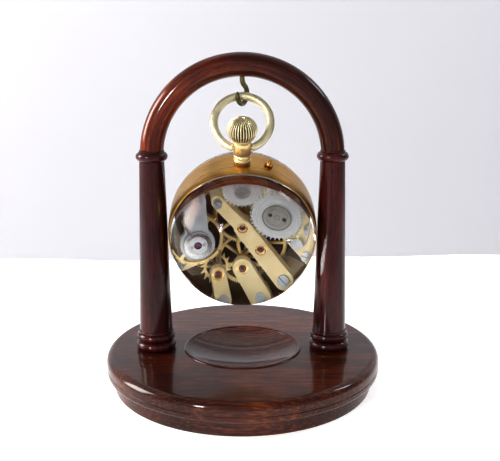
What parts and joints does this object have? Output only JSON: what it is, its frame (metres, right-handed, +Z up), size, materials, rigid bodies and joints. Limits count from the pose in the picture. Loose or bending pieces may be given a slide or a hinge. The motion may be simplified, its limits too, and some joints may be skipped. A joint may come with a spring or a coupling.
{
  "type": "desk ball clock",
  "caption": "Glass ball clock with a winding crown and bow, hanging from a hook in a round wooden stand with two columns and an arch.",
  "frame": {"origin": "centre of the stand's underside", "axes": "+Z up; -Y is the side the movement shows; +X to the right seen from there"},
  "size_m": [0.1136, 0.1136, 0.1365],
  "materials": {
    "mahogany": "polished red-brown lacquer",
    "hook_brass": "aged, brown",
    "pale_brass": "polished, worn",
    "gold_brass": "polished",
    "lens_glass": "clear, polished",
    "gilt": "frosted gilt",
    "cock_steel": "grey-blue, satin",
    "wheel_brass": "satin",
    "bright_steel": "polished",
    "screw_steel": "polished heads",
    "blued_steel": "heat-blued",
    "ruby": "polished ruby",
    "enamel": "gloss enamel"
  },
  "bodies": {
    "stand": {"base": "mahogany", "column_left": "mahogany", "column_right": "mahogany", "arch": "mahogany", "hook": "hook_brass"},
    "bow": {"bow": "pale_brass"},
    "case": {"case_band": "gold_brass", "front_bezel": "gold_brass", "back_bezel": "gold_brass", "front_lens": "lens_glass", "back_lens": "lens_glass", "casing_ring": "gilt", "case_screws": "screw_steel", "pendant": "gold_brass", "pin_guard": "gold_brass", "main_plate": "gilt", "barrel_bridge": "gilt", "train_bar": "gilt", "fourth_cock": "gilt", "escape_cock": "gilt", "pallet_cock": "gilt", "balance_cock": "cock_steel", "bridge_screws": "screw_steel", "jewels": "ruby", "endstone_cap": "cock_steel", "click_spring": "screw_steel", "dial": "enamel"},
    "crown": {"crown": "pale_brass", "winding_stem": "bright_steel", "winding_pinion": "bright_steel"},
    "push_pin": {"push_pin": "gold_brass"},
    "ratchet": {"ratchet_wheel": "bright_steel", "barrel_arbor": "bright_steel", "ratchet_cap": "bright_steel"},
    "crown_wheel": {"crown_wheel": "bright_steel"},
    "click": {"click": "bright_steel"},
    "barrel": {"barrel": "wheel_brass", "barrel_cover": "wheel_brass", "mainspring": "screw_steel"},
    "centre": {"centre_wheel": "wheel_brass", "centre_pinion": "bright_steel"},
    "third": {"third_wheel": "wheel_brass", "third_pinion": "bright_steel"},
    "fourth": {"fourth_wheel": "wheel_brass", "fourth_pinion": "bright_steel", "seconds_hand": "blued_steel"},
    "escape": {"escape_wheel": "wheel_brass", "escape_pinion": "bright_steel"},
    "pallet": {"pallet_fork": "bright_steel"},
    "balance": {"balance_wheel": "wheel_brass", "balance_staff": "bright_steel", "hairspring": "blued_steel"},
    "regulator": {"regulator": "cock_steel"},
    "minute": {"cannon_pinion": "bright_steel", "minute_hand": "blued_steel"},
    "minute_wheel": {"minute_wheel": "wheel_brass"},
    "hour": {"hour_wheel": "wheel_brass", "hour_hand": "blued_steel"}
  },
  "joints": [
    {"name": "bow_swing", "type": "hinge", "parent": "stand", "child": "bow", "pos_m": [0, 0, 0.1194], "axis": [1, 0, 0], "range_deg": [-28, 28]},
    {"name": "case_tilt", "type": "hinge", "parent": "bow", "child": "case", "pos_m": [0, -0.0106, 0.10074], "axis": [1, 0, 0], "range_deg": [-40, 30]},
    {"name": "crown_turn", "type": "hinge", "parent": "case", "child": "crown", "pos_m": [0, -0.01323, 0.10908], "axis": [0, -0.3007, 0.9537], "continuous": true},
    {"name": "push_pin_press", "type": "slide", "parent": "case", "child": "push_pin", "axis": [-0.342, 0.2826, -0.8962], "range_m": [0, 0.0006], "stiffness_N_per_m": 800, "springref_m": -0.0006},
    {"name": "crown_wheel_turn", "type": "hinge", "parent": "case", "child": "crown_wheel", "pos_m": [0, -0.00671, 0.07841], "axis": [0, -0.9537, -0.3007], "continuous": true},
    {"name": "ratchet_turn", "type": "hinge", "parent": "case", "child": "ratchet", "pos_m": [0.00995, -0.00397, 0.06973], "axis": [0, -0.9537, -0.3007], "continuous": true},
    {"name": "click_lift", "type": "hinge", "parent": "case", "child": "click", "pos_m": [0.0149, -0.00127, 0.06116], "axis": [0, -0.9537, -0.3007], "range_deg": [0, 12], "stiffness_Nm_per_rad": 0.002},
    {"name": "fourth_turn", "type": "hinge", "parent": "case", "child": "fourth", "pos_m": [0, 0.00422, 0.05505], "axis": [0, -0.9537, -0.3007], "continuous": true},
    {"name": "escape_turn", "type": "hinge", "parent": "case", "child": "escape", "pos_m": [-0.006, 0.00469, 0.05357], "axis": [0, -0.9537, -0.3007], "continuous": true},
    {"name": "third_turn", "type": "hinge", "parent": "case", "child": "third", "pos_m": [0.0047, 0.00266, 0.06], "axis": [0, -0.9537, -0.3007], "continuous": true},
    {"name": "centre_turn", "type": "hinge", "parent": "case", "child": "centre", "pos_m": [0, 0.00068, 0.06629], "axis": [0, -0.9537, -0.3007], "continuous": true},
    {"name": "barrel_turn", "type": "hinge", "parent": "case", "child": "barrel", "pos_m": [0.00995, 0.00023, 0.07105], "axis": [0, -0.9537, -0.3007], "continuous": true},
    {"name": "balance_swing", "type": "hinge", "parent": "case", "child": "balance", "pos_m": [-0.0119, 0.00119, 0.06136], "axis": [0, -0.9537, -0.3007], "range_deg": [-150, 150], "stiffness_Nm_per_rad": 0.000002, "deforming": ["hairspring"]},
    {"name": "pallet_swing", "type": "hinge", "parent": "case", "child": "pallet", "pos_m": [-0.0084, 0.00365, 0.05686], "axis": [0, -0.9537, -0.3007], "range_deg": [-4.05, 4.05]},
    {"name": "regulator_shift", "type": "hinge", "parent": "case", "child": "regulator", "pos_m": [-0.0119, -0.00091, 0.0607], "axis": [0, -0.9537, -0.3007], "range_deg": [-20, 20]},
    {"name": "minute_turn", "type": "hinge", "parent": "case", "child": "minute", "pos_m": [0, 0.0064, 0.06809], "axis": [0, -0.9537, -0.3007], "continuous": true},
    {"name": "minute_wheel_turn", "type": "hinge", "parent": "case", "child": "minute_wheel", "pos_m": [-0.00374, 0.00432, 0.0697], "axis": [0, -0.9537, -0.3007], "continuous": true},
    {"name": "hour_turn", "type": "hinge", "parent": "case", "child": "hour", "pos_m": [0, 0.00593, 0.06794], "axis": [0, -0.9537, -0.3007], "continuous": true}
  ],
  "couplings": [
    {"joint": "crown_wheel_turn", "follows": "crown_turn", "ratio": 0.51613},
    {"joint": "ratchet_turn", "follows": "crown_turn", "ratio": -0.4},
    {"joint": "third_turn", "follows": "fourth_turn", "ratio": -0.13333},
    {"joint": "centre_turn", "follows": "fourth_turn", "ratio": 0.016667},
    {"joint": "barrel_turn", "follows": "fourth_turn", "ratio": -0.0020833},
    {"joint": "escape_turn", "follows": "fourth_turn", "ratio": -10},
    {"joint": "pallet_swing", "follows": "balance_swing", "ratio": 0.026667},
    {"joint": "minute_wheel_turn", "follows": "minute_turn", "ratio": -0.33333},
    {"joint": "hour_turn", "follows": "minute_turn", "ratio": 0.083333}
  ]
}
